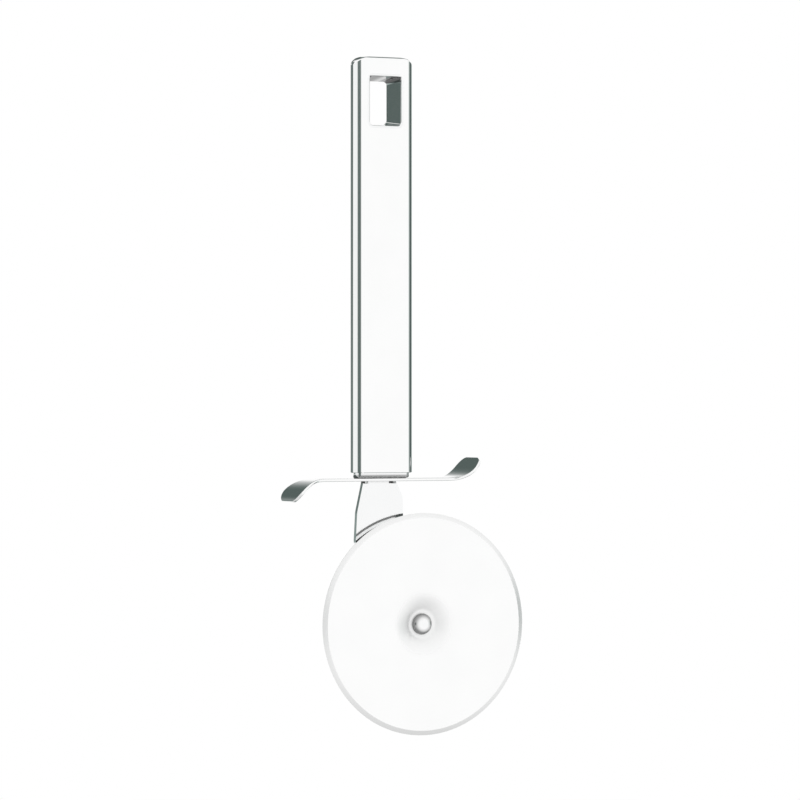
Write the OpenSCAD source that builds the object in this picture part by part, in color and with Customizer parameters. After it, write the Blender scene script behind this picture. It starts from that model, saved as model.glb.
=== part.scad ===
// Pizza cutter: a hollow steel handle with a hanging slot, an S-shaped finger guard,
// a stamped arm and one cutting wheel that turns freely on a riveted axle.
// It is modelled upright with the wheel down: X runs across the handle, +Y points to
// its back and +Z points up. The origin is the middle of the hanging slot's top wall.

/* [Handle] */
// Width of the handle
handle_w = 20.5; // [18:0.1:24]
// Thickness of the handle from front to back
handle_t = 8.7; // [7.5:0.1:9.5]
// Length of the two shells
handle_len = 130.4; // [100:0.2:160]
// Sheet thickness of the two shells
shell_wall = 0.95; // [0.6:0.05:1]
// Rounding along the front edges
front_edge_r = 2.9; // [1.8:0.1:3]
// Rounding of the top corners, seen from the front
top_corner_r = 2.6; // [1.2:0.1:3]
// Rise of the arched top from its corners to its middle
top_crown = 0.5; // [0.2:0.1:1.5]
// Rounding where the front face turns into the top
top_front_r = 0.7; // [0.4:0.1:1]
// Rounding where the back turns into the top
top_back_r = 1.5; // [1.2:0.1:1.8]

/* [Hanging slot] */
// Width of the slot at the front face
slot_w = 10.8; // [8:0.2:12]
// Height of the slot at the front face
slot_h = 15.5; // [12:0.5:24]
// Rounding of the slot's corners
slot_corner_r = 1.2; // [0.8:0.1:2]
// Lean of the slot's walls, in degrees: the slot narrows towards the back
slot_lean = 7; // [2:0.5:9]
// Distance from the handle's top to the slot, at mid thickness
slot_from_top = 6.7; // [5:0.1:10]
// Sheet thickness of the sleeve that lines the slot
liner_wall = 0.8; // [0.5:0.1:1.2]

/* [End plug] */
// Length of the plug inside the shells
plug_in = 14; // [10:0.5:20]
// Height of the plug's step below the shells
plug_out = 1.75; // [1.6:0.05:3]
// Rounding of the plug's lower edge
plug_edge_r = 1.5; // [0.5:0.1:1.5]
// Diameter of the two pins through plug and tang
pin_d = 2.4; // [2:0.1:3]
// Distance between the two pins
pin_pitch = 5; // [4:0.5:6]
// Distance from the shells' end to the lower pin
pin_up = 4.5; // [3:0.5:5]

/* [Finger guard] */
// Sheet thickness of the guard
guard_t = 0.9; // [0.7:0.1:1.4]
// Width of the guard's flat middle, from front to back
guard_w = 9; // [7:0.5:12]
// Width of the two finger rests
rest_w = 14.5; // [12:0.1:18]
// Corner rounding of the finger rests
rest_corner_r = 4.2; // [2:0.1:5]
// Distance from the middle to the start of the upward bend
up_start = 22.7; // [20:0.1:30]
// Radius of the upward bend
up_bend_r = 10.5; // [7:0.5:13]
// Angle of the upward bend, in degrees
up_angle = 53; // [35:1:60]
// Straight length after the upward bend
up_tip = 3; // [2:0.1:8]
// Distance from the middle to the start of the downward bend
down_start = 21.2; // [18:0.1:28]
// Radius of the downward bend
down_bend_r = 11.3; // [9:0.1:14]
// Angle of the downward bend, in degrees
down_angle = 66; // [50:1:75]

/* [Blade arm] */
// Sheet thickness of the arm
arm_t = 1.6; // [1.2:0.1:2]
// Distance of the arm's middle plane behind the handle's
arm_back = 0.7; // [0:0.1:1]
// Width of the tang that goes up into the plug
tang_w = 8; // [6:0.5:9]
// Length of the tang above the plug
tang_out = 2; // [1:0.5:4]
// Width of the arm's shoulders under the guard
neck_w = 11.3; // [10:0.1:14]
// Full width of the arm
arm_w = 16.6; // [14:0.1:20]
// Height of the arm's straight part below the guard
arm_drop = 18.5; // [14:0.5:22]
// Radius of the arm's round end behind the wheel
boss_r = 8; // [6:0.5:10]
// Sloping coin on the front of the shoulders
shoulder_bevel = 0.8; // [0.3:0.1:1]

/* [Wheel] */
// Diameter of the cutting wheel
wheel_d = 70; // [60:1:76]
// Sheet thickness of the wheel
wheel_t = 1.2; // [1:0.1:1.6]
// Width of the ground bevel at the wheel's edge
bevel_w = 1.45; // [1:0.05:3]
// Width of the flat left at the sharp edge
edge_land = 0.12; // [0.08:0.02:0.3]
// Depth of the pressed dish in the wheel's middle
dish_depth = 1.9; // [1:0.1:2.5]
// Diameter of the dish's flat floor
dish_floor_d = 9; // [8:0.5:12]
// Diameter of the dish at the wheel's face
dish_d = 18; // [16:0.5:24]
// Distance of the wheel's centre to the right of the handle's middle
wheel_side = 13.7; // [8:0.05:18]
// Distance of the wheel's centre below the guard
wheel_drop = 45.15; // [42:0.05:55]

/* [Axle] */
// Diameter of the rivet's bearing shank
shank_d = 4; // [3.5:0.1:5]
// Diameter of the rivet's tenon through the arm
tenon_d = 3; // [2.4:0.1:3.2]
// Diameter of the rivet's domed head
head_d = 6.7; // [6:0.1:7.5]
// Height of the rivet's domed head
head_h = 1.6; // [1:0.1:2]
// Diameter of the peened tail
tail_d = 4.8; // [4:0.1:5.5]
// Height of the peened tail
tail_h = 0.8; // [0.5:0.1:1.2]
// Outer diameter of the bush in the wheel
bush_d = 5.4; // [5.2:0.1:5.8]
// Diameter of the bush's flange
flange_d = 9; // [8:0.5:10]
// Thickness of the bush's flange
flange_t = 0.5; // [0.3:0.1:0.8]
// Diameter of the spacer washer
spacer_d = 8; // [7:0.5:10]
// Thickness of the spacer washer
spacer_t = 0.3; // [0.2:0.1:0.6]
// Diameter of the burr washer at the arm's back
burr_d = 7; // [6:0.5:9]
// Thickness of the burr washer
burr_t = 0.6; // [0.4:0.1:1]

/* [Fits] */
// Radial clearance of the bush on the shank
run_gap = 0.05; // [0.02:0.01:0.1]
// End play of the wheel, on each side
end_play = 0.05; // [0.03:0.01:0.15]
// Clearance around welded and pressed pieces
weld_gap = 0.02; // [0.01:0.01:0.04]
// Clearance around the tang
tang_gap = 0.05; // [0.02:0.01:0.1]

/* [Hidden] */
$fn = 96;
overrun = 1;

// Heights, measured from the slot's top wall
top_z = slot_from_top;
shell_end_z = top_z - handle_len;
guard_top_z = shell_end_z - plug_out;
guard_z = guard_top_z - guard_t;
wheel_z = guard_z - wheel_drop;
tang_top_z = shell_end_z + plug_in + tang_out;

// Depths, front negative. The rounder back edges take what the front ones and a narrow flat,
// where the welded seam runs, leave of the thickness.
side_flat = 0.2;
back_edge_r = handle_t - front_edge_r - side_flat;
front_y = -handle_t / 2;
back_y = handle_t / 2;
seam_y = front_y + front_edge_r + side_flat / 2;
arm_front_y = arm_back - arm_t / 2;

// Places along the axle, counted forwards from the handle's middle plane
arm_front_h = -arm_front_y;
arm_rear_h = arm_front_h - arm_t;
burr_rear_h = arm_rear_h - burr_t;
flange_rear_h = arm_front_h + spacer_t + end_play;
floor_rear_h = flange_rear_h + flange_t;
floor_front_h = floor_rear_h + wheel_t;
face_rear_h = floor_rear_h + dish_depth;
face_front_h = face_rear_h + wheel_t;
head_under_h = floor_front_h + end_play;

tang_corner_r = tang_w / 8;

// Shares that shape the arm's flare on its two sides
left_drop_share = 0.53;
left_reach_share = 0.83;
right_drop_share = 0.27;
right_reach_share = 0.89;
// How far a corner's trimming reaches out, as a share of its radius
corner_reach_share = 1.2;
// Share of the largest bend that the dish's slope has room for
dish_bend_share = 0.8;
// Shares that shape the guard's step from its middle to the finger rests
step_run_share = 1.4;
step_bend_share = 2.5;

function unit(v) = v / norm(v);
function left_of(v) = [-v[1], v[0]];
function polar(r, a) = r * [cos(a), sin(a)];

// Rounding of corner b between a and c: [start, end, centre, radius, 1 outside or -1 inside]
function corner_arc(a, b, c, r) =
    let (side = cross(b - a, c - b) > 0 ? 1 : -1,
         reach = r * tan(acos(unit(b - a) * unit(c - b)) / 2),
         start = b - reach * unit(b - a))
    [start, b + reach * unit(c - b), start + side * r * left_of(unit(b - a)), r, side];

// What has to go to round a corner. Outside corners lose what lies past the arc; inside
// corners are first bridged by the arc's chord, and lose what lies within the arc.
module corner_cut(arc, tip) {
    c = arc[2];
    r = arc[3];
    spare = arc[4] > 0 ? 0 : (corner_reach_share - 1) * r;
    ends = [for (p = [arc[0], arc[1]]) p + spare * unit(p - tip)];
    wedge = [c, for (p = [ends[0], tip, ends[1]]) c + corner_reach_share * (p - c)];
    if (arc[4] > 0) difference() {
        polygon(wedge);
        translate(c) circle(r + overrun / 1000);
    } else intersection() {
        polygon(wedge);
        translate(c) circle(r + overrun / 1000);
    }
}

// Closed outline with true round corners; each corner is [x, y, radius], counter-clockwise
module rounded_outline(corners) {
    last = len(corners) - 1;
    at = [for (c = corners) [c[0], c[1]]];
    arcs = [for (i = [0 : last])
        corner_arc(at[i == 0 ? last : i - 1], at[i], at[i == last ? 0 : i + 1], corners[i][2])];
    difference() {
        polygon([for (i = [0 : last]) each (arcs[i][4] > 0 ? [at[i]] : [arcs[i][0], arcs[i][1]])]);
        for (i = [0 : last]) if (arcs[i][3] > 0) corner_cut(arcs[i], at[i]);
    }
}

// Upright of half width w, from z0 up to an arched top with its apex at z1, with round
// upper corners
module arched_outline(w, z0, z1, corner_r, arch_r) {
    arch_c = [0, z1 - arch_r];
    corner_c = [w - corner_r, arch_c[1] + sqrt(pow(arch_r - corner_r, 2) - pow(w - corner_r, 2))];
    side_end = corner_c + [corner_r, 0];
    arch_end = corner_c + corner_r * unit(corner_c - arch_c);
    tip = [w, arch_c[1] + sqrt(arch_r * arch_r - w * w)];
    difference() {
        translate([-w, z0]) square([2 * w, z1 + overrun - z0]);
        difference() {
            translate([-2 * w, arch_c[1]]) square([4 * w, arch_r + 2 * overrun]);
            translate(arch_c) circle(arch_r);
        }
        for (m = [0, 1]) mirror([m, 0]) corner_cut([side_end, arch_end, corner_c, corner_r, 1], tip);
    }
}

// Two circles joined by their outer tangents
module web(c1, r1, c2, r2) {
    heading = atan2(c2[1] - c1[1], c2[0] - c1[0]);
    spread = acos((r1 - r2) / norm(c2 - c1));
    translate(c1) circle(r1);
    translate(c2) circle(r2);
    polygon([c1 + polar(r1, heading + spread), c1 + polar(r1, heading - spread),
             c2 + polar(r2, heading - spread), c2 + polar(r2, heading + spread)]);
}

// Front view outline, extruded from one depth to another
module from_front(y0, y1) {
    translate([0, y1, 0]) rotate([90, 0, 0]) linear_extrude(y1 - y0) children();
}

// Side view outline, drawn as [depth, height], extruded across a width
module from_side(w) {
    rotate([90, 0, 90]) translate([0, 0, -w / 2]) linear_extrude(w) children();
}

// Puts a turned piece on the axle; its own Z counts forwards
module on_axle() {
    translate([wheel_side, 0, wheel_z]) rotate([90, 0, 0]) children();
}

module ring(r_out, r_in, h0, h1) {
    difference() {
        translate([0, 0, h0]) cylinder(r = r_out, h = h1 - h0);
        translate([0, 0, h0 - overrun]) cylinder(r = r_in, h = h1 - h0 + 2 * overrun);
    }
}

// Cross-section of the handle, drawn in by an inset
module handle_section(inset) {
    w = handle_w / 2 - inset;
    y0 = front_y + inset;
    y1 = back_y - inset;
    r0 = front_edge_r - inset;
    r1 = back_edge_r - inset;
    rounded_outline([[-w, y0, r0], [w, y0, r0], [w, y1, r1], [-w, y1, r1]]);
}

// The closed form of the handle, drawn in by an inset, from the open end up. The side
// outline stands clear of the arch's apex by a hair.
module handle_form(inset, end_z) {
    r = max(top_corner_r - inset, overrun / 10);
    crown_r = (handle_w * handle_w / 4 + top_crown * top_crown) / (2 * top_crown);
    y0 = front_y + inset;
    y1 = back_y - inset;
    z0 = end_z - overrun;
    z1 = top_z - inset;
    side_z = z1 + overrun / 50;
    intersection() {
        translate([0, 0, end_z]) linear_extrude(z1 + overrun - end_z) handle_section(inset);
        from_front(front_y - overrun, back_y + overrun)
            arched_outline(handle_w / 2 - inset, z0, z1, r, crown_r - inset);
        from_side(handle_w + 2 * overrun)
            rounded_outline([[y0, z0, 0], [y1, z0, 0],
                             [y1, side_z, max(top_back_r - inset, 0)],
                             [y0, side_z, max(top_front_r - inset, 0)]]);
    }
}

// The leaning form of the slot, grown by a wall, between two depths
module slot_form(grow, y0, y1) {
    hull() for (y = [y0, y1]) {
        lean = (y - front_y) * tan(slot_lean);
        w = slot_w / 2 - lean + grow;
        mid_lean = handle_t / 2 * tan(slot_lean);
        z1 = mid_lean - lean + grow;
        z0 = mid_lean - slot_h + lean - grow;
        r = slot_corner_r + grow;
        sliver = overrun / 100;
        translate([0, y + (y == y0 ? sliver : 0), 0]) rotate([90, 0, 0]) linear_extrude(sliver)
            rounded_outline([[-w, z0, r], [w, z0, r], [w, z1, r], [-w, z1, r]], $fn = 40);
    }
}

module handle_hollow() {
    difference() {
        handle_form(0, shell_end_z);
        handle_form(shell_wall, shell_end_z - overrun);
        slot_form(liner_wall + weld_gap, front_y - overrun, back_y + overrun);
    }
}

module depth_band(y0, y1) {
    translate([-handle_w, y0, shell_end_z - overrun])
        cube([2 * handle_w, y1 - y0, handle_len + 2 * overrun]);
}

// Drawn front half: the face, the rounded front edges and the front of the top end
module front_shell() color("gainsboro") intersection() {
    handle_hollow();
    depth_band(front_y - overrun, seam_y);
}

// Deep drawn back half with rounder edges, butt welded to the front half all round
module back_shell() color("silver") intersection() {
    handle_hollow();
    depth_band(seam_y, back_y + overrun);
}

// Leaning sleeve welded between the two shells around the hanging slot
module slot_liner() color("dimgray") difference() {
    slot_form(liner_wall, front_y, back_y);
    slot_form(0, front_y - overrun, back_y + overrun);
}

module tang_space(z0, z1) {
    translate([-tang_w / 2 - tang_gap, arm_front_y - tang_gap, z0])
        cube([tang_w + 2 * tang_gap, arm_t + 2 * tang_gap, z1 - z0]);
}

module at_pins() for (i = [0, 1]) translate([0, 0, shell_end_z + pin_up + i * pin_pitch]) children();

// Solid plug welded into the shells' open end, with its rounded step showing below them
module end_plug() color("darkgray") {
    inset = shell_wall + weld_gap;
    h = plug_in + plug_out;
    w = handle_w / 2 - inset;
    y0 = front_y + inset;
    y1 = back_y - inset;
    difference() {
        translate([0, 0, guard_top_z]) intersection() {
            linear_extrude(h) handle_section(inset);
            from_front(front_y, back_y)
                rounded_outline([[-w, 0, plug_edge_r], [w, 0, plug_edge_r],
                                 [w, h + overrun, 0], [-w, h + overrun, 0]]);
            from_side(handle_w)
                rounded_outline([[y0, 0, plug_edge_r], [y1, 0, plug_edge_r],
                                 [y1, h + overrun, 0], [y0, h + overrun, 0]]);
        }
        tang_space(guard_top_z - overrun, shell_end_z + plug_in + overrun);
        at_pins() translate([0, back_y, 0]) rotate([90, 0, 0]) cylinder(d = pin_d + 2 * weld_gap, h = handle_t);
    }
}

// Two pins pressed through the plug and the tang
module tang_pins() color("gray") {
    reach = handle_t / 2 - shell_wall - 2 * weld_gap;
    at_pins() translate([0, reach, 0]) rotate([90, 0, 0]) cylinder(d = pin_d, h = 2 * reach);
}

// Rounds the two corners of a finger rest that ends at the point [0, 0]
module rest_corners() {
    far = 2 * rest_corner_r;
    for (s = [-1, 1]) difference() {
        translate([-rest_corner_r, s * (rest_w / 2 - rest_corner_r) - (s > 0 ? 0 : far), -far])
            cube([far, far, 2 * far]);
        translate([-rest_corner_r, s * (rest_w / 2 - rest_corner_r), -far - overrun])
            cylinder(r = rest_corner_r, h = 2 * (far + overrun));
    }
}

// Bent strip of sheet that runs to the right and turns up: centre line radius, thickness,
// angle turned, and the straight length after it. The centre of the bend is at [0, 0].
module bend(r, t, turn, straight = 0) {
    far = r + t;
    intersection() {
        difference() {
            circle(r + t / 2);
            circle(r - t / 2);
        }
        translate([0, -far]) square(far);
        rotate(turn) translate([-far, -far]) square(far);
    }
    if (straight > 0) rotate(turn) translate([0, -r - t / 2]) square([straight, t]);
}

// Stamped strip under the plug: the right end bends up and the left end down, as finger rests
module finger_guard() color("whitesmoke") {
    mid_z = guard_z + guard_t / 2;
    up_end = [up_start + up_bend_r * sin(up_angle) + up_tip * cos(up_angle),
              mid_z + up_bend_r * (1 - cos(up_angle)) + up_tip * sin(up_angle)];
    down_end = [-down_start - down_bend_r * sin(down_angle), mid_z - down_bend_r * (1 - cos(down_angle))];
    corner_lean = down_angle - rest_corner_r / down_bend_r * 90 / PI;
    right_x = up_end[0] + overrun;
    left_x = down_end[0] - overrun;
    step = (rest_w - guard_w) / 2;
    step_r = step_bend_share * step;
    x0 = down_start + step;
    x1 = x0 + step_run_share * step;
    difference() {
        intersection() {
            from_front(-rest_w, rest_w) {
                translate([-down_start, guard_z]) square([down_start + up_start, guard_t]);
                translate([up_start, mid_z + up_bend_r]) bend(up_bend_r, guard_t, up_angle, up_tip);
                translate([-down_start, mid_z - down_bend_r]) rotate(180)
                    bend(down_bend_r, guard_t, down_angle);
            }
            translate([0, 0, wheel_z]) linear_extrude(top_z - wheel_z)
                rounded_outline([
                    [-x0, -guard_w / 2, step_r], [x0, -guard_w / 2, step_r],
                    [x1, -rest_w / 2, step_r], [right_x, -rest_w / 2, 0],
                    [right_x, rest_w / 2, 0], [x1, rest_w / 2, step_r],
                    [x0, guard_w / 2, step_r], [-x0, guard_w / 2, step_r],
                    [-x1, rest_w / 2, step_r], [left_x, rest_w / 2, 0],
                    [left_x, -rest_w / 2, 0], [-x1, -rest_w / 2, step_r]]);
        }
        tang_space(guard_z - overrun, guard_top_z + overrun);
        translate([up_end[0], 0, up_end[1]]) rotate([0, -up_angle, 0]) rest_corners();
        translate([down_end[0], 0, down_end[1]]) mirror([1, 0, 0]) rotate([0, corner_lean, 0]) rest_corners();
    }
}

// Stamped arm: a tang up into the plug, shoulders under the guard, and a leaf that runs
// down and to the right to the axle behind the wheel
module blade_arm() color("lightgray") {
    shoulder_z = guard_z;
    low_c = [0, shoulder_z - arm_drop];
    low_r = arm_w / 2;
    flare = low_r - neck_w / 2;
    left_drop = left_drop_share * arm_drop;
    right_drop = right_drop_share * arm_drop;
    tang_h = tang_top_z - shoulder_z;
    difference() {
        from_front(arm_front_y, arm_front_y + arm_t) {
            translate([0, shoulder_z]) rounded_outline([
                [low_r, -arm_drop, 0],
                [neck_w / 2 + right_reach_share * flare, -right_drop, right_drop],
                [neck_w / 2, 0, 0], [tang_w / 2, 0, 0],
                [tang_w / 2, tang_h, tang_corner_r], [-tang_w / 2, tang_h, tang_corner_r],
                [-tang_w / 2, 0, 0], [-neck_w / 2, 0, 0],
                [-neck_w / 2 - left_reach_share * flare, -left_drop, left_drop],
                [-low_r, -arm_drop, 0]]);
            web(low_c, low_r, [wheel_side, wheel_z], boss_r);
        }
        on_axle() cylinder(d = tenon_d + 2 * weld_gap, h = 2 * (arm_back + arm_t) + overrun, center = true);
        at_pins() translate([0, back_y, 0]) rotate([90, 0, 0]) cylinder(d = pin_d + 2 * weld_gap, h = handle_t);
        for (s = [-1, 1]) translate([s * (tang_w + neck_w) / 4, arm_front_y, shoulder_z])
            rotate([45, 0, 0])
                cube([(neck_w - tang_w) / 2, shoulder_bevel * sqrt(2), shoulder_bevel * sqrt(2)], center = true);
    }
}

// Thin washer on the shank, against the arm
module spacer_washer() color("silver")
    on_axle() ring(spacer_d / 2, shank_d / 2 + weld_gap, arm_front_h, arm_front_h + spacer_t);

// Shoulder rivet: domed head in front, bearing shank, tenon through the arm, peened tail
module axle_rivet() color("white") {
    head_r = head_d / 2;
    dome_r = (head_r * head_r + head_h * head_h) / (2 * head_h);
    tail_r = tail_d / 2;
    tail_dome_r = (tail_r * tail_r + tail_h * tail_h) / (2 * tail_h);
    on_axle() {
        translate([0, 0, arm_front_h]) cylinder(d = shank_d, h = head_under_h - arm_front_h);
        translate([0, 0, burr_rear_h]) cylinder(d = tenon_d, h = arm_front_h - burr_rear_h);
        intersection() {
            translate([0, 0, head_under_h + head_h - dome_r]) sphere(dome_r);
            translate([0, 0, head_under_h]) cylinder(r = head_d, h = 2 * head_h);
        }
        intersection() {
            translate([0, 0, burr_rear_h - tail_h + tail_dome_r]) sphere(tail_dome_r);
            translate([0, 0, burr_rear_h - 2 * tail_h]) cylinder(r = tail_d, h = 2 * tail_h);
        }
    }
}

// Washer that the rivet's tail is peened over
module burr_washer() color("silver")
    on_axle() ring(burr_d / 2, tenon_d / 2 + weld_gap, burr_rear_h, arm_rear_h);

// Flanged bush pressed into the wheel; it turns on the shank
module wheel_bush() color("slategray") on_axle() difference() {
    union() {
        translate([0, 0, flange_rear_h]) cylinder(d = flange_d, h = flange_t);
        translate([0, 0, floor_rear_h]) cylinder(d = bush_d, h = wheel_t);
    }
    translate([0, 0, flange_rear_h - overrun])
        cylinder(d = shank_d + 2 * run_gap, h = flange_t + wheel_t + 2 * overrun);
}

// Half section of all that lies behind a plane in the wheel's sheet, as [radius, height]:
// lift is half the sheet for its front face and minus that for its rear face
module behind_wheel(lift) {
    rim_r = wheel_d / 2;
    bore_r = bush_d / 2 + weld_gap;
    run = (dish_d - dish_floor_d) / 2;
    bend_r = dish_bend_share * (run * run + dish_depth * dish_depth) / (4 * dish_depth);
    twist = 4 * bend_r - dish_depth;
    half_slope = atan((run - sqrt(run * run - dish_depth * twist)) / twist);
    floor_h = (floor_rear_h + floor_front_h) / 2 + lift;
    face_h = floor_h + dish_depth;
    rim_h = face_h - lift + (lift > 0 ? edge_land : -edge_land) / 2;
    floor_corner_r = dish_floor_d / 2 + (bend_r - lift) * tan(half_slope);
    face_corner_r = dish_d / 2 - (bend_r + lift) * tan(half_slope);
    rounded_outline([[bore_r, arm_rear_h - rim_r, 0], [rim_r, arm_rear_h - rim_r, 0],
                     [rim_r, rim_h, 0], [rim_r - bevel_w, face_h, 0],
                     [face_corner_r, face_h, bend_r + lift],
                     [floor_corner_r, floor_h, bend_r - lift], [bore_r, floor_h, 0]]);
}

// Cutting wheel: hardened disc with a pressed dish round its bore and a bevelled edge
module cutting_wheel() color("white") on_axle() rotate_extrude() difference() {
    behind_wheel(wheel_t / 2);
    behind_wheel(-wheel_t / 2);
}

front_shell();
back_shell();
slot_liner();
end_plug();
tang_pins();
finger_guard();
blade_arm();
spacer_washer();
axle_rivet();
burr_washer();
wheel_bush();
cutting_wheel();
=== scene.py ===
"""Pizza cutter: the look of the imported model, put together in the order it is made."""
import math

import bmesh
import bpy
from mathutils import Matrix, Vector


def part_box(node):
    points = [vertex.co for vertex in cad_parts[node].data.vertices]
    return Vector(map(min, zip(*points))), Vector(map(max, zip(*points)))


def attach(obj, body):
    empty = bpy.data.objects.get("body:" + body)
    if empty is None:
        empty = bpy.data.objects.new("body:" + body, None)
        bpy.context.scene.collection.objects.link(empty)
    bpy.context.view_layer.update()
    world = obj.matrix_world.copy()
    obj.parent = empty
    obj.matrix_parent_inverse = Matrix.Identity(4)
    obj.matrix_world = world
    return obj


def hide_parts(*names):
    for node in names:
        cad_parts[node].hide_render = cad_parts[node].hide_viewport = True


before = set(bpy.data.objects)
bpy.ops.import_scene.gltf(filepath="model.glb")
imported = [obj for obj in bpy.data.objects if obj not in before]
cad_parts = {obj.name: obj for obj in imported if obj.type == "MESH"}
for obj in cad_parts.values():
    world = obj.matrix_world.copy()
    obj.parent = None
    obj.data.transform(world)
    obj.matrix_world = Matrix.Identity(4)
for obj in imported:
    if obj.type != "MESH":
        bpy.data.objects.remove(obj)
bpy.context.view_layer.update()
scene = bpy.context.scene
MM = 0.001


# Handle shells
# Two halves drawn from stainless sheet, butt welded all round at their widest place and
# polished to a mirror. The polishing wheel ran along the handle, so its marks lie lengthwise.

def node(tree, kind, inputs=(), **settings):
    """Adds a node with its settings. Each input gets a value, or the output that it is linked to."""
    made = tree.nodes.new("ShaderNode" + kind)
    for name, value in settings.items():
        setattr(made, name, value)
    for name, value in dict(inputs).items():
        if isinstance(value, bpy.types.NodeSocket):
            tree.links.new(value, made.inputs[name])
        else:
            made.inputs[name].default_value = value
    return made


def fill_ramp(ramp, stops):
    """Gives a colour ramp its stops, from the first to the last: each is [position, colour]."""
    for i, (position, colour) in enumerate(stops):
        ends = ramp.elements
        stop = ends[0] if i == 0 else ends[-1] if i == len(stops) - 1 else ends.new(position)
        stop.position = position
        stop.color = colour


def steel(name, colour, smooth, rough, grain, axle=None):
    """Steel with polishing marks, whose roughness runs between smooth and rough. Grain is how
    often the marks repeat per metre along X, Y and Z, or, round an axle, per metre of radius,
    per radian and per metre of depth."""
    material = bpy.data.materials.new(name)
    material.use_nodes = True
    tree = material.node_tree
    place = node(tree, "TexCoord").outputs["Object"]
    haze = node(tree, "TexNoise", {"Vector": place, "Scale": 90, "Detail": 3})
    tone = node(tree, "ValToRGB", {"Fac": haze.outputs["Fac"]})
    fill_ramp(tone.color_ramp, [(0.3, (*[c * 0.985 for c in colour], 1)), (0.7, (*colour, 1))])
    if axle:
        offset = node(tree, "VectorMath", {0: place, 1: axle}, operation="SUBTRACT")
        part = node(tree, "SeparateXYZ", {"Vector": offset.outputs["Vector"]}).outputs
        flat = node(tree, "CombineXYZ", {"X": part["X"], "Z": part["Z"]}).outputs["Vector"]
        radius = node(tree, "VectorMath", {0: flat}, operation="LENGTH", name="radius").outputs["Value"]
        angle = node(tree, "Math", {0: part["X"], 1: part["Z"]}, operation="ARCTAN2").outputs["Value"]
        place = node(tree, "CombineXYZ", {"X": radius, "Y": angle, "Z": part["Y"]}).outputs["Vector"]
    stretch = node(tree, "Mapping", {"Vector": place, "Scale": grain})
    marks = node(tree, "TexNoise", {"Vector": stretch.outputs["Vector"], "Scale": 1, "Detail": 4,
                                    "Roughness": 0.7}).outputs["Fac"]
    spread = node(tree, "MapRange", {"Value": marks, "From Min": 0.35, "From Max": 0.75,
                                     "To Min": smooth, "To Max": rough})
    bump = node(tree, "Bump", {"Height": marks, "Strength": 0.15, "Distance": 0.002 * MM})
    surface = tree.nodes["Principled BSDF"].inputs
    surface["Metallic"].default_value = 1
    tree.links.new(tone.outputs["Color"], surface["Base Color"])
    tree.links.new(spread.outputs["Result"], surface["Roughness"])
    tree.links.new(bump.outputs["Normal"], surface["Normal"])
    return material


def places(material):
    """Outputs X, Y and Z of the place on the object, in metres."""
    where = node(material.node_tree, "TexCoord")
    return node(material.node_tree, "SeparateXYZ", {"Vector": where.outputs["Object"]}).outputs


def window(material, source, low, high, soft):
    """1 where an output lies between low and high, 0 outside, with soft ends."""
    tree = material.node_tree
    low_side = node(tree, "MapRange", {"Value": source, "From Min": low - soft, "From Max": low})
    high_side = node(tree, "MapRange", {"Value": source, "From Min": high + soft, "From Max": high})
    both = {0: low_side.outputs["Result"], 1: high_side.outputs["Result"]}
    return node(tree, "Math", both, operation="MULTIPLY").outputs["Value"]


def banded(material, source, low, high, stops, only=1):
    """Adds bands of another finish, rougher, and darker where it paints shade and dark
    reflections: each stop is [share of the way from low to high, how much of the base colour is left,
    least roughness], along an output of the material's nodes. Only is how much of the darkening is used, as
    a number or an output."""
    tree = material.node_tree
    surface = tree.nodes["Principled BSDF"].inputs
    along = node(tree, "MapRange", {"Value": source, "From Min": low, "From Max": high})
    bands = []
    for i in (1, 2):
        band = node(tree, "ValToRGB", {"Fac": along.outputs["Result"]})
        fill_ramp(band.color_ramp, [(stop[0], (stop[i], stop[i], stop[i], 1)) for stop in stops])
        bands.append(band.outputs["Color"])
    colour, rough = surface["Base Color"].links[0].from_socket, surface["Roughness"].links[0].from_socket
    darker = node(tree, "Mix", {"Factor": only, "A": colour, "B": bands[0]},
                  data_type="RGBA", blend_type="MULTIPLY")
    duller = node(tree, "Math", {0: rough, 1: bands[1]}, operation="MAXIMUM")
    tree.links.new(darker.outputs["Result"], surface["Base Color"])
    tree.links.new(duller.outputs["Value"], surface["Roughness"])


def skin(shape, loops, wrap=False):
    """Faces through loops with the same number of points; wrap joins the last to the first."""
    rows = [[shape.verts.new(point) for point in loop] for loop in loops]
    for i in range(len(rows) if wrap else len(rows) - 1):
        one, two = rows[i], rows[(i + 1) % len(rows)]
        for j in range(len(one)):
            k = (j + 1) % len(one)
            shape.faces.new((one[j], one[k], two[k], two[j]))
    return rows


def tidy(shape):
    """Joins doubled points, drops loose edges and turns all faces outwards."""
    bmesh.ops.remove_doubles(shape, verts=shape.verts, dist=0.0001 * MM)
    bmesh.ops.delete(shape, geom=[e for e in shape.edges if not e.link_faces], context="EDGES")
    bmesh.ops.recalc_face_normals(shape, faces=shape.faces)


def as_object(name, shape):
    """Turns a shape into an object of the scene."""
    data = bpy.data.meshes.new(name)
    shape.to_mesh(data)
    shape.free()
    made = bpy.data.objects.new(name, data)
    scene.collection.objects.link(made)
    return made


def piece(name, shape, material, slot, body, *nodes, cutter=None, crease=32):
    """Makes the object of a piece, cuts it where asked, and puts it in its nodes' place. Edges
    that bend by more degrees than the crease stay sharp."""
    made = as_object(name, shape)
    if cutter:
        cut = made.modifiers.new("cut", "BOOLEAN")
        cut.operation = "DIFFERENCE"
        cut.solver = "EXACT"
        cut.object = cutter
        ready = made.evaluated_get(bpy.context.evaluated_depsgraph_get())
        made.modifiers.clear()
        made.data = bpy.data.meshes.new_from_object(ready)
    made.data.shade_smooth()
    made.data.set_sharp_from_angle(angle=math.radians(crease))
    even = made.modifiers.new("even", "WEIGHTED_NORMAL")
    even.keep_sharp = True
    made.data.materials.clear()
    made.data.materials.append(material)
    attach(made, body)
    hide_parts(*nodes)
    return made


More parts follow.
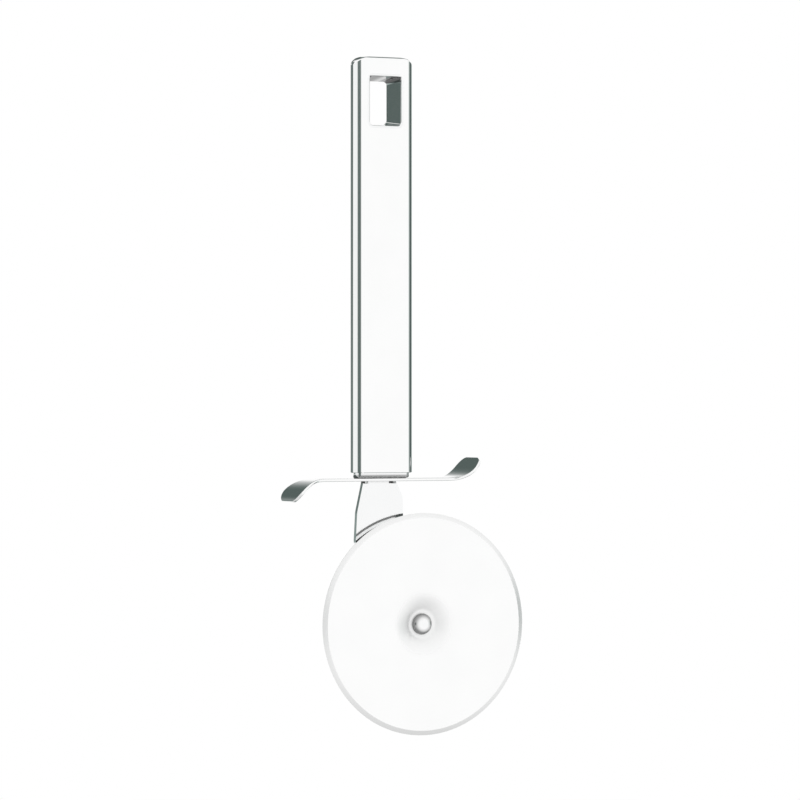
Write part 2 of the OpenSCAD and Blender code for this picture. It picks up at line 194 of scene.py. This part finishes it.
SHELL_WALL = 0.95 * MM
FRONT_EDGE_R = 2.9 * MM
BACK_EDGE_R = 5.6 * MM
FRONT_EDGE_STEPS, BACK_EDGE_STEPS = 14, 20
TOP_SIDE_R = 2.3 * MM
TOP_FRONT_R = 0.7 * MM
TOP_BACK_R = 1.5 * MM
TOP_LEAST_R = 0.05 * MM
TOP_STEPS = 10
TOP_CROWN = 0.5 * MM
CROWN_SHARES = 0.97, 0.8, 0.6, 0.4, 0.2, 0
SEAM = 0.04 * MM
END_CHAMFER = 0.1 * MM
END_LAND = 0.02 * MM
SLOT_HALF_W = 5.4 * MM
SLOT_H = 15.5 * MM
SLOT_CORNER_R = 1.2 * MM
SLOT_STEPS = 10
SLOT_LEAN = math.tan(math.radians(7))
LINER_WALL = 0.8 * MM
LINER_GAP = 0.002 * MM
CUTTER_REACH = MM
front_low, front_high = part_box("front_shell")
back_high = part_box("back_shell")[1]
HALF_W, FRONT_Y, BACK_Y = front_high.x, front_low.y, back_high.y
END_Z, TOP_Z, SEAM_Y = front_low.z, front_high.z, front_high.y


def quarter(cx, cy, r, start, steps):
    """Quarter circle as [x, y, cosine, sine], from a start in degrees."""
    angles = [math.radians(start + 90 * i / steps) for i in range(steps + 1)]
    return [(cx + r * math.cos(a), cy + r * math.sin(a), math.cos(a), math.sin(a)) for a in angles]


def handle_section(w, y0, y1, r0, r1):
    """Section of the handle as [x, y, sideways share, front share] round its outline."""
    return (quarter(w - r0, y0 + r0, r0, 270, FRONT_EDGE_STEPS)
            + quarter(w - r1, y1 - r1, r1, 0, BACK_EDGE_STEPS)
            + quarter(r1 - w, y1 - r1, r1, 90, BACK_EDGE_STEPS)
            + quarter(r0 - w, y0 + r0, r0, 180, FRONT_EDGE_STEPS))


def handle_loops(inset):
    """Loops of the handle's form, drawn in by an inset, from its open end to its apex."""
    def ring(side, front, back):
        return handle_section(HALF_W - inset - side, FRONT_Y + inset + front, BACK_Y - inset - back,
                              FRONT_EDGE_R - inset, BACK_EDGE_R - inset)

    def arch(x):
        return TOP_Z - inset - TOP_CROWN * (x / HALF_W) ** 2

    side_r = TOP_SIDE_R - inset
    front_r = max(TOP_FRONT_R - inset, TOP_LEAST_R)
    back_r = max(TOP_BACK_R - inset, TOP_LEAST_R)
    chamfer = END_CHAMFER if inset == 0 else 0
    loops = [[(x, y, END_Z) for x, y, s, f in ring(chamfer, chamfer, chamfer)],
             [(x, y, END_Z + chamfer + END_LAND) for x, y, s, f in ring(0, 0, 0)]]
    for i in range(TOP_STEPS + 1):
        a = math.radians(90 * i / TOP_STEPS)
        inwards, below = 1 - math.cos(a), 1 - math.sin(a)
        loop = []
        for x, y, s, f in ring(side_r * inwards, front_r * inwards, back_r * inwards):
            edge_r = side_r * s * s + (front_r if f < 0 else back_r) * f * f
            loop.append((x, y, arch(x) - below * edge_r))
        loops.append(loop)
    mid_y = (FRONT_Y + BACK_Y) / 2
    rim = loops[-1]
    for share in CROWN_SHARES:
        loops.append([(x * share, mid_y + (y - mid_y) * share, arch(x * share)) for x, y, z in rim])
    return loops


def slot_loop(grow, y, reach=0.0):
    """Outline of the slot at a depth, grown by a wall; reach carries the lean on past it."""
    lean = (y + reach - FRONT_Y) * SLOT_LEAN
    mid_lean = -FRONT_Y * SLOT_LEAN
    w = SLOT_HALF_W - lean + grow
    z1, z0, r = mid_lean - lean + grow, mid_lean - SLOT_H + lean - grow, SLOT_CORNER_R + grow
    corners = (w - r, z1 - r), (r - w, z1 - r), (r - w, z0 + r), (w - r, z0 + r)
    return [(x, y + reach, z) for i, (cx, cz) in enumerate(corners)
            for x, z, c, s in quarter(cx, cz, r, 90 * i, SLOT_STEPS)]


shell_finish = steel("shell_mirror", (0.978, 0.98, 0.978), 0.05, 0.1, (5200, 5200, 70))
handle = bmesh.new()
outer = skin(handle, handle_loops(0))
inner = skin(handle, handle_loops(SHELL_WALL))
for j in range(len(outer[0])):
    k = (j + 1) % len(outer[0])
    handle.faces.new((outer[0][j], outer[0][k], inner[0][k], inner[0][j]))
tidy(handle)
slot_space = bmesh.new()
rows = skin(slot_space, [slot_loop(LINER_WALL + LINER_GAP, FRONT_Y, -CUTTER_REACH),
                         slot_loop(LINER_WALL + LINER_GAP, BACK_Y, CUTTER_REACH)])
slot_space.faces.new(rows[0])
slot_space.faces.new(rows[1])
tidy(slot_space)
slot_cutter = as_object("slot_space", slot_space)
for name, side in (("front_shell", -1), ("back_shell", 1)):
    half = handle.copy()
    cut = bmesh.ops.bisect_plane(
        half, geom=half.verts[:] + half.edges[:] + half.faces[:], dist=1e-8,
        plane_co=(0, SEAM_Y + side * SEAM / 2, 0), plane_no=(0, -side, 0), clear_outer=True)
    edges = [e for e in cut["geom_cut"] if isinstance(e, bmesh.types.BMEdge)]
    bmesh.ops.triangle_fill(half, use_beauty=True, edges=edges, normal=(0, -side, 0))
    bmesh.ops.recalc_face_normals(half, faces=half.faces)
    piece(name + "_skin", half, shell_finish, "shell_steel", "grip", name, cutter=slot_cutter)
handle.free()
bpy.data.objects.remove(slot_cutter)


# Slot liner
# Sleeve of thin stainless sheet round the hanging slot, welded to both shells. Its front
# edge is rolled over into the slot, and its walls lean in towards the back.

LIP_R, LIP_STEPS = 0.25 * MM, 8
BACK_LIP_R, BACK_LIP_STEPS = 0.3 * MM, 6
profile = [(LINER_WALL, FRONT_Y)]
for i in range(LIP_STEPS + 1):
    a = math.radians(90 * i / LIP_STEPS)
    profile.append((LIP_R * (1 - math.sin(a)), FRONT_Y + LIP_R * (1 - math.cos(a))))
for i in range(BACK_LIP_STEPS + 1):
    a = math.radians(90 * i / BACK_LIP_STEPS)
    profile.append((BACK_LIP_R * (1 - math.cos(a)), BACK_Y - BACK_LIP_R * (1 - math.sin(a))))
profile.append((LINER_WALL, BACK_Y))
liner = bmesh.new()
skin(liner, [slot_loop(grow, y) for grow, y in profile], wrap=True)
tidy(liner)
liner_finish = steel("liner_mirror", (0.93, 0.935, 0.935), 0.08, 0.16, (5200, 90, 5200))
# Painted dark reflection: the sleeve's top wall is darker than its other walls, but least so near its
# middle.
PAINTED_REFLECTION_HALF_W = 5.6 * MM
PAINTED_REFLECTION_LOW, PAINTED_REFLECTION_HIGH, PAINTED_REFLECTION_SOFT = -1.0 * MM, 0.52 * MM, 0.12 * MM
banded(liner_finish, places(liner_finish)["X"], -PAINTED_REFLECTION_HALF_W, PAINTED_REFLECTION_HALF_W,
       [(0, 1, 0.1), (0.02, 0.1, 0.1), (0.18, 0.05, 0.1), (0.3, 0.02, 0.1), (0.4, 0.14, 0.1),
        (0.5, 0.45, 0.1), (0.6, 0.55, 0.1), (0.66, 0.16, 0.1), (0.74, 0.12, 0.1), (0.97, 0.14, 0.1),
        (1, 1, 0.1)],
       window(liner_finish, places(liner_finish)["Z"], PAINTED_REFLECTION_LOW, PAINTED_REFLECTION_HIGH, PAINTED_REFLECTION_SOFT))
piece("slot_liner_skin", liner, liner_finish, "liner_steel", "grip", "slot_liner")


# End plug and its pins
# Solid stainless plug welded into the shells' open end, machined with a rounded step. Two
# pins are pressed through it and the arm's tang.

def dress(material, slot, *nodes):
    """Gives CAD nodes their finish."""
    for name in nodes:
        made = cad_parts[name]
        made.data.materials.clear()
        made.data.materials.append(material)


STEP_H = 2 * MM
plug_finish = steel("plug_mirror", (0.95, 0.953, 0.953), 0.06, 0.12, (90, 90, 5200))
plug_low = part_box("end_plug")[0].z
# Painted shade: the rounded step near the plug's lower edge is darker and duller, in the crevice just above
# the guard.
banded(plug_finish, places(plug_finish)["Z"], plug_low, plug_low + STEP_H,
       [(0, 0.9, 0.2), (0.25, 0.6, 0.2), (0.4, 0.4, 0.2), (0.5, 0.72, 0.16), (0.62, 0.95, 0.08),
        (1, 1, 0.05)])
dress(plug_finish, "plug_steel", "end_plug")
dress(plug_finish, "pin_steel", "tang_pins")


# Finger guard
# Strip of stainless sheet, stamped with two wide rounded ends. The right one is bent up and
# the left one down as finger rests, and the whole is deburred and mirror polished.

GUARD_T = 0.9 * MM
GUARD_EDGE_R, GUARD_EDGE_STEPS = 0.2 * MM, 4
GUARD_STEPS = 90
GUARD_HALF_W = 4.5 * MM
REST_HALF_W = 7.25 * MM
REST_CORNER_R = 4.2 * MM
UP_START, UP_R, UP_ANGLE, UP_TIP = 22.7 * MM, 10.5 * MM, math.radians(53), 3 * MM
DOWN_START, DOWN_R, DOWN_ANGLE = 21.2 * MM, 11.3 * MM, math.radians(66)
STEP_FROM, STEP_TO = 21.75 * MM, 30 * MM
guard_top_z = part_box("end_plug")[0].z
guard_mid_z = guard_top_z - GUARD_T / 2
left_length = DOWN_START + DOWN_R * DOWN_ANGLE
right_length = UP_START + UP_R * UP_ANGLE + UP_TIP


def guard_station(s):
    """Place and lean of the guard's middle line, s along it from the handle's middle."""
    if s >= 0:
        bend = min(max(s - UP_START, 0) / UP_R, UP_ANGLE)
        straight = max(s - UP_START - UP_R * UP_ANGLE, 0)
        x = min(s, UP_START) + UP_R * math.sin(bend) + straight * math.cos(bend)
        z = guard_mid_z + UP_R * (1 - math.cos(bend)) + straight * math.sin(bend)
        return x, z, bend
    bend = max(-s - DOWN_START, 0) / DOWN_R
    x = -min(-s, DOWN_START) - DOWN_R * math.sin(bend)
    return x, guard_mid_z - DOWN_R * (1 - math.cos(bend)), bend


def guard_loop(s):
    """Section of the guard's strip, s along its middle line: rounded where it ends."""
    x, z, lean = guard_station(s)
    from_end = min(s + left_length, right_length - s)
    share = min(max((abs(x) - STEP_FROM) / (STEP_TO - STEP_FROM), 0), 1)
    half_w = GUARD_HALF_W + (REST_HALF_W - GUARD_HALF_W) * share * share * (3 - 2 * share)
    if from_end < REST_CORNER_R:
        corner = math.sqrt(REST_CORNER_R ** 2 - (REST_CORNER_R - from_end) ** 2)
        half_w = REST_HALF_W - REST_CORNER_R + corner
    r, half_t = GUARD_EDGE_R, GUARD_T / 2
    if from_end < r:
        half_t += math.sqrt(r ** 2 - (r - from_end) ** 2) - r
    corners = ((half_w - r, half_t - r), (r - half_w, half_t - r),
               (r - half_w, r - half_t), (half_w - r, r - half_t))
    return [(x - v * math.sin(lean), u, z + v * math.cos(lean)) for i, (cu, cv) in enumerate(corners)
            for u, v, c, s in quarter(cu, cv, r, 90 * i, GUARD_EDGE_STEPS)]


# Distances from an end, closest where the strip's edge and corners are rounded.
near_end = [v * MM for v in (0, 0.02, 0.06, 0.12, 0.2, 0.35, 0.6, 0.9, 1.3, 1.8, 2.4, 3, 3.6, 4.2)]
middle_length = left_length + right_length - 2 * near_end[-1]
stations = [v - left_length for v in near_end]
stations += [near_end[-1] - left_length + middle_length * i / GUARD_STEPS for i in range(1, GUARD_STEPS)]
stations += [right_length - v for v in reversed(near_end)]
guard = bmesh.new()
rows = skin(guard, [guard_loop(s) for s in stations])
guard.faces.new(rows[0])
guard.faces.new(rows[-1])
tidy(guard)
guard_finish = steel("guard_mirror", (0.955, 0.957, 0.955), 0.05, 0.1, (90, 5200, 5200))
piece("finger_guard_skin", guard, guard_finish, "guard_steel", "grip", "finger_guard")


# Blade arm
# Leaf of 1.6 mm stainless sheet, stamped out with its tang and coined shoulders, deburred
# and polished. The tang is pinned in the plug, and the rivet goes through its round end.

# Painted shade makes the shoulders dark and dull just under the guard in two places, from the left to the
# right.
PAINTED_SHADE_PLACES = (-7.2 * MM, -5 * MM), (3.25 * MM, 4.9 * MM)
PAINTED_SHADE_H, PAINTED_SHADE_SOFT = 1.1 * MM, 0.15 * MM
arm_finish = steel("arm_mirror", (0.945, 0.95, 0.95), 0.08, 0.16, (3000, 3000, 90))
across, up = places(arm_finish)["X"], places(arm_finish)["Z"]
guard_under_z = guard_top_z - GUARD_T
for left, right in PAINTED_SHADE_PLACES:
    banded(arm_finish, up, guard_under_z - PAINTED_SHADE_H, guard_under_z,
           [(0, 1, 0.08), (0.25, 1, 0.08), (0.42, 0.08, 0.3), (1, 0.06, 0.3)],
           window(arm_finish, across, left, right, PAINTED_SHADE_SOFT))
dress(arm_finish, "arm_steel", "blade_arm")


# Axle
# Turned stainless shoulder rivet with a domed head. A thin washer lies between arm and
# wheel, and another one under the tail, which is peened over it at the arm's back.

def turned(profile, centre, steps):
    """Turns a profile of [radius, height in front] round the axle."""
    shape = bmesh.new()
    loops = []
    for i in range(steps):
        a = 2 * math.pi * i / steps
        loops.append([(centre.x + r * math.sin(a), -h, centre.z + r * math.cos(a)) for r, h in profile])
    skin(shape, loops, wrap=True)
    tidy(shape)
    return shape


def arc(middle_r, middle_h, r, start, end, steps):
    """Arc of a turned profile as [radius, height in front], between angles from straight ahead."""
    angles = [start + (end - start) * i / steps for i in range(steps + 1)]
    return [(middle_r + r * math.sin(a), middle_h + r * math.cos(a)) for a in angles]


def from_axle(material):
    """Output of the distance from the axle, in metres."""
    return material.node_tree.nodes["radius"].outputs["Value"]


HEAD_R, HEAD_H, HEAD_EDGE_R = 3.35 * MM, 1.6 * MM, 0.06 * MM
CROWN_R, SHOULDER_R = 9 * MM, 1.3 * MM
SHANK_R, TENON_R = 2 * MM, 1.5 * MM
TAIL_R, TAIL_H = 2.4 * MM, 0.8 * MM
RIVET_STEPS = 96
rivet_low, rivet_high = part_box("axle_rivet")
axle = (rivet_low + rivet_high) / 2
head_top, tail_end = -rivet_low.y, -rivet_high.y
head_under = head_top - HEAD_H
arm_front = -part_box("blade_arm")[0].y
crown_rim = math.asin((HEAD_R - SHOULDER_R) / (CROWN_R - SHOULDER_R))
shoulder_h = head_top - (CROWN_R - SHOULDER_R) * (1 - math.cos(crown_rim)) - SHOULDER_R
tail_dome_r = (TAIL_R ** 2 + TAIL_H ** 2) / (2 * TAIL_H)
tail_rim = math.asin(TAIL_R / tail_dome_r)
profile = arc(0, head_top - CROWN_R, CROWN_R, 0, crown_rim, 12)[:-1]
profile += arc(HEAD_R - SHOULDER_R, shoulder_h, SHOULDER_R, crown_rim, math.pi / 2, 16)
profile += [(HEAD_R, head_under + HEAD_EDGE_R), (HEAD_R - HEAD_EDGE_R, head_under)]
profile += [(SHANK_R, head_under), (SHANK_R, arm_front), (TENON_R, arm_front), (TENON_R, tail_end + TAIL_H)]
profile += arc(0, tail_end + tail_dome_r, tail_dome_r, math.pi - tail_rim, math.pi, 10)
rivet_finish = steel("rivet_mirror", (0.95, 0.953, 0.953), 0.06, 0.12, (9000, 1, 300), axle)
# Painted dark reflection: the dome is darker and duller towards its rim.
banded(rivet_finish, from_axle(rivet_finish), 0, HEAD_R,
       [(0, 1, 0.05), (0.42, 1, 0.05), (0.6, 0.8, 0.1), (0.74, 0.52, 0.15), (0.9, 0.3, 0.2), (1, 0.26, 0.2)])
rivet = turned(profile, axle, RIVET_STEPS)
piece("axle_rivet_turned", rivet, rivet_finish, "rivet_steel", "grip", "axle_rivet")
washer_finish = steel("washer_satin", (0.9, 0.905, 0.905), 0.16, 0.28, (9000, 1, 300), axle)
dress(washer_finish, "washer_steel", "spacer_washer", "burr_washer")


# Cutting wheel and its bush
# Hardened stainless disc with a dish pressed round its bore, mirror polished on both faces
# and ground to a satin bevel, whose rear rim has painted shade. A turned bush is pressed into it.

WHEEL_T = 1.2 * MM
BEVEL_W = 1.45 * MM
BEVEL_LEAD = 0.1 * MM
EDGE_LAND = 0.12 * MM
BORE_R = 2.72 * MM
DISH_IN, DISH_OUT, DISH_TURN = 4 * MM, 13 * MM, 1.6 * MM
DISH_EASE = 1.4
DISH_STEPS = 48
WHEEL_STEPS = 256
wheel_low, wheel_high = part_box("cutting_wheel")
RIM_R = (wheel_high.x - wheel_low.x) / 2
BEVEL_R = RIM_R - BEVEL_W
face_h = -wheel_low.y - WHEEL_T / 2
floor_h = -wheel_high.y + WHEEL_T / 2


def dish_slope(r):
    """How steep the dish is at a radius: a short turn at its floor, then ever flatter outwards."""
    turn = min((r - DISH_IN) / DISH_TURN, 1)
    left = max(1 - (r - DISH_IN) / (DISH_OUT - DISH_IN), 0)
    return turn * turn * (3 - 2 * turn) * left ** DISH_EASE


def wheel_side(lift):
    """Front face (lift > 0) or rear face of the disc, from the bore to the rim."""
    radii = [DISH_IN + (DISH_OUT - DISH_IN) * i / DISH_STEPS for i in range(DISH_STEPS + 1)]
    steep = (face_h - floor_h) / sum(dish_slope(r) for r in radii)
    points, h = [(BORE_R, floor_h + lift)], floor_h
    for r in radii:
        rise = steep * dish_slope(r)
        lean = math.atan2(rise, radii[1] - radii[0])
        points.append((r - lift * math.sin(lean), h + rise / 2 + lift * math.cos(lean)))
        h += rise
    points += [(BEVEL_R - BEVEL_LEAD, face_h + lift), (BEVEL_R, face_h + lift)]
    points.append((RIM_R, face_h + math.copysign(EDGE_LAND / 2, lift)))
    return points


wheel_finish = steel("wheel_mirror", (0.98, 0.982, 0.98), 0.06, 0.12, (5000, 1, 300), axle)
BEVEL_SHARE, BEVEL_SOFT_SHARE = 1 - BEVEL_W / RIM_R, 0.004
banded(wheel_finish, from_axle(wheel_finish), 0, RIM_R,
       [(0, 1, 0.58), (0.18, 1, 0.54), (0.26, 1, 0.3), (0.33, 1, 0.06),
        (BEVEL_SHARE - BEVEL_SOFT_SHARE, 1, 0.08), (BEVEL_SHARE + BEVEL_SOFT_SHARE, 0.95, 0.34),
        (1, 0.92, 0.36)])
grind_and_painted_shade = steel("wheel_grind_painted_shade", (0.98, 0.982, 0.98), 0.12, 0.2, (300, 40, 300), axle)
# Painted shade: the outer part of the rear bevel is dark, so the arm mirrors a dark gap along the disc's
# edge.
banded(grind_and_painted_shade, from_axle(grind_and_painted_shade), BEVEL_R, RIM_R,
       [(0, 1, 0.1), (0.5, 1, 0.1), (0.58, 0.24, 0.3), (1, 0.2, 0.3)])
profile = wheel_side(WHEEL_T / 2) + list(reversed(wheel_side(-WHEEL_T / 2)))
wheel = piece("cutting_wheel_turned", turned(profile, axle, WHEEL_STEPS), wheel_finish, "wheel_steel",
              "wheel", "cutting_wheel", crease=12)
wheel.data.materials.append(grind_and_painted_shade)
for face in wheel.data.polygons:
    out = math.hypot(face.center.x - axle.x, face.center.z - axle.z)
    faces_rear = face.normal.y > 0.1
    if out > BEVEL_R and faces_rear:
        face.material_index = 1
bush_finish = steel("bush_satin", (0.9, 0.905, 0.9), 0.16, 0.28, (9000, 1, 300), axle)
dress(bush_finish, "bush_steel", "wheel_bush")


# Studio
# A white room with a low band of dark walls and some dark cards round the cutter, which draw
# the dark lines along the steel's edges. The cutter hangs free above a pale floor.

BEARINGS = [  # degrees clockwise from straight behind the cutter, and how light the wall is there
    (-180, 1), (-168, 1), (-156, 0.15), (-124, 0.15), (-114, 0.92), (-54, 0.95), (-44, 0.3),
    (-39, 0.1), (-33, 0.13), (-28, 0.3), (-22, 0.3), (-16, 0.12), (-9, 0.1), (-3, 0.85), (1, 1),
    (38, 1), (46, 0.5), (70, 0.25), (85, 0.1), (104, 0.08), (110, 0.2), (117, 0.55), (127, 0.88),
    (138, 1), (180, 1)]
WALL_HEIGHT = math.sin(math.radians(5)), math.sin(math.radians(8))
CARDS = [  # bearing and height of each dark card, the angles where it ends and starts to fade, tone
    (22, 58, 46, 31, 0.13), (62, -55, 38, 27, 0.2), (-7, 24, 18, 4, 0.12), (-26, 14, 12, 7, 0.18),
    (-41, 17, 17, 11, 0.12), (-41, -14, 15, 8, 0.4)]
FLOOR_TONE = 0.72
FLOOR_DEPTH = -0.3, -0.75
FILL_TONE = 0.8


def tinted(light):
    """Light grey as written, and darker greys with the cards' slight green."""
    return light * (1 - 0.26 * (1 - light)), light, light * (1 - 0.07 * (1 - light)), 1


def grey(tone):
    return tone, tone, tone, 1


def fade(tree, value, start, end):
    """Output that runs smoothly from 0 to 1 while a value goes from start to end."""
    span = {"Value": value, "From Min": start, "From Max": end}
    return node(tree, "MapRange", span, interpolation_type="SMOOTHSTEP").outputs["Result"]


def mixed(tree, share, one, two):
    """Colour that goes from one to two with a share."""
    return node(tree, "Mix", {"Factor": share, "A": one, "B": two}, data_type="RGBA").outputs["Result"]


world = bpy.data.worlds.new("white_studio")
scene.world = world
world.use_nodes = True
tree = world.node_tree
heading = node(tree, "TexCoord").outputs["Generated"]
split = node(tree, "SeparateXYZ", {"Vector": heading}).outputs
bearing = node(tree, "Math", {0: split["X"], 1: split["Y"]}, operation="ARCTAN2")
turn = node(tree, "MapRange", {"Value": bearing.outputs["Value"], "From Min": -math.pi, "From Max": math.pi})
wall = node(tree, "ValToRGB", {"Fac": turn.outputs["Result"]})
fill_ramp(wall.color_ramp, [((degrees + 180) / 360, tinted(light)) for degrees, light in BEARINGS])
height = node(tree, "Math", {0: split["Z"]}, operation="ABSOLUTE")
room = mixed(tree, fade(tree, split["Z"], *FLOOR_DEPTH), grey(1), grey(FLOOR_TONE))
room = mixed(tree, fade(tree, height.outputs["Value"], *WALL_HEIGHT), wall.outputs["Color"], room)
for card in CARDS:
    a, b, ends, starts = (math.radians(degrees) for degrees in card[:4])
    card_heading = math.cos(b) * math.sin(a), math.cos(b) * math.cos(a), math.sin(b)
    nearness = node(tree, "VectorMath", {0: heading, 1: card_heading}, operation="DOT_PRODUCT")
    share = fade(tree, nearness.outputs["Value"], math.cos(ends), math.cos(starts))
    room = mixed(tree, share, room, tinted(card[4]))
rays = node(tree, "LightPath").outputs
background = mixed(tree, rays["Is Camera Ray"], grey(FILL_TONE), grey(1))
background = mixed(tree, rays["Is Glossy Ray"], background, room)
tree.links.new(background, tree.nodes["Background"].inputs["Color"])

LAMP_PLACE, LAMP_AIM = Vector((-0.8, -1.0, 1.2)), Vector((0, 0, -0.26))
lamp_data = bpy.data.lights.new("soft_box", "AREA")
lamp_data.size = 1.4
lamp_data.energy = 8
lamp = bpy.data.objects.new("soft_box", lamp_data)
lamp.location = LAMP_PLACE
lamp.rotation_euler = (LAMP_AIM - LAMP_PLACE).to_track_quat("-Z", "Y").to_euler()
lamp.visible_camera = False
lamp.visible_glossy = False
scene.collection.objects.link(lamp)

FLOOR_Z, FLOOR_R = -0.265, 1.1
SHADOW_FADE = 0.12, 0.4
floor_shape = bmesh.new()
bmesh.ops.create_circle(floor_shape, cap_ends=True, segments=96, radius=FLOOR_R)
floor = as_object("floor", floor_shape)
floor.location = (0, 0, FLOOR_Z)
paper = bpy.data.materials.new("floor_paper")
paper.use_nodes = True
tree = paper.node_tree
matte = tree.nodes["Principled BSDF"]
matte.inputs["Base Color"].default_value = grey(FILL_TONE)
matte.inputs["Roughness"].default_value = 0.9
matte.inputs["Specular IOR Level"].default_value = 0
white = node(tree, "Emission").outputs["Emission"]
out_from_middle = node(tree, "VectorMath", {0: node(tree, "TexCoord").outputs["Object"]}, operation="LENGTH")
rays = node(tree, "LightPath").outputs
clear = fade(tree, out_from_middle.outputs["Value"], *SHADOW_FADE)
clear = node(tree, "Math", {0: clear, 1: rays["Is Camera Ray"]}, operation="MULTIPLY").outputs["Value"]
seen = node(tree, "MixShader", {"Fac": clear, 1: matte.outputs["BSDF"], 2: white}).outputs["Shader"]
absent = node(tree, "BsdfTransparent").outputs["BSDF"]
unmirrored = node(tree, "MixShader", {"Fac": rays["Is Glossy Ray"], 1: seen, 2: absent}).outputs["Shader"]
tree.links.new(unmirrored, tree.nodes["Material Output"].inputs["Surface"])
floor.data.materials.append(paper)

# Place, bearing and lens were fitted to the outline that the cutter has in the photograph.
CAMERA_PLACE, CAMERA_BEARING = (-0.54394, -1.13335, -0.1009), 25.93
camera_data = bpy.data.cameras.new("camera")
camera_data.lens = 180
camera_data.sensor_width = 36
camera = bpy.data.objects.new("camera", camera_data)
camera.location = CAMERA_PLACE
camera.rotation_euler = (math.radians(90), 0, math.radians(-CAMERA_BEARING))
scene.collection.objects.link(camera)
scene.camera = camera

scene.view_settings.view_transform = "Standard"
